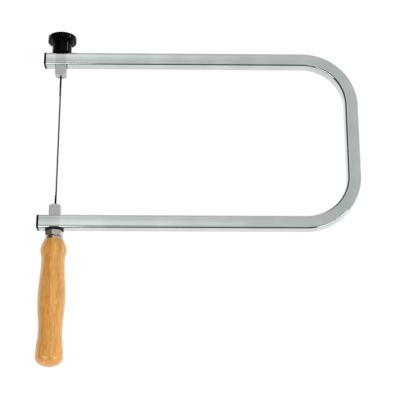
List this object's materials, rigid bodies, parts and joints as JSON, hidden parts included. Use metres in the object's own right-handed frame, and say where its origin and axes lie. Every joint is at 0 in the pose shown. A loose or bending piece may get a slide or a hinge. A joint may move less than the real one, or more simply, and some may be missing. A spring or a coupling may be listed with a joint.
{
  "type": "fret saw",
  "caption": "Fret saw with a bent square-tube bow, split square blade clamps, a mushroom tension knob and a turned wooden handle.",
  "frame": {"origin": "middle of the saw's outline on the surface that it lies on, at the lowest point of the knob's rim", "axes": "+Y along the blade from the handle to the knob, +X from the blade to the back of the bow, +Z square to the bow, up as it lies"},
  "size_m": [0.2772, 0.2976, 0.0252],
  "materials": {
    "bow_steel": "satin nickel plate",
    "clamp_steel": "satin nickel plate",
    "stud_steel": "zinc plate",
    "bright_steel": "bright nickel plate",
    "blade_steel": "hardened spring steel",
    "brass": "turned brass",
    "knob_plastic": "gloss black plastic",
    "cap_plastic": "satin black plastic",
    "washer_black": "black fibre",
    "beech": "clear gloss varnish"
  },
  "bodies": {
    "bow": {"bow_frame": "bow_steel", "upper_end_cap": "cap_plastic", "lower_end_cap": "cap_plastic", "thrust_washer": "washer_black"},
    "knob": {"tension_knob": "knob_plastic", "knob_bush": "brass"},
    "upper_jaw": {"upper_clamp": "clamp_steel", "upper_stud": "stud_steel"},
    "handle": {"handle_nut": "bright_steel", "handle_ferrule": "bright_steel", "handle_grip": "beech"},
    "lower_jaw": {"lower_clamp": "clamp_steel", "lower_stud": "stud_steel", "saw_blade": "blade_steel"}
  },
  "joints": [
    {"name": "knob_turn", "type": "hinge", "parent": "bow", "child": "knob", "pos_m": [-0.1234, 0.13115, 0.0126], "axis": [0, 1, 0], "range_deg": [0, 1080]},
    {"name": "upper_jaw_slide", "type": "slide", "parent": "bow", "child": "upper_jaw", "axis": [0, -1, 0], "range_m": [0, 0.003]},
    {"name": "handle_turn", "type": "hinge", "parent": "bow", "child": "handle", "pos_m": [-0.1234, -0.03185, 0.0126], "axis": [0, -1, 0], "range_deg": [0, 864]},
    {"name": "lower_jaw_slide", "type": "slide", "parent": "bow", "child": "lower_jaw", "axis": [0, 1, 0], "range_m": [0, 0.003]}
  ],
  "couplings": [
    {"joint": "knob_turn", "follows": "upper_jaw_slide", "rad_per_m": 6283.2},
    {"joint": "handle_turn", "follows": "lower_jaw_slide", "rad_per_m": 5026.5}
  ]
}
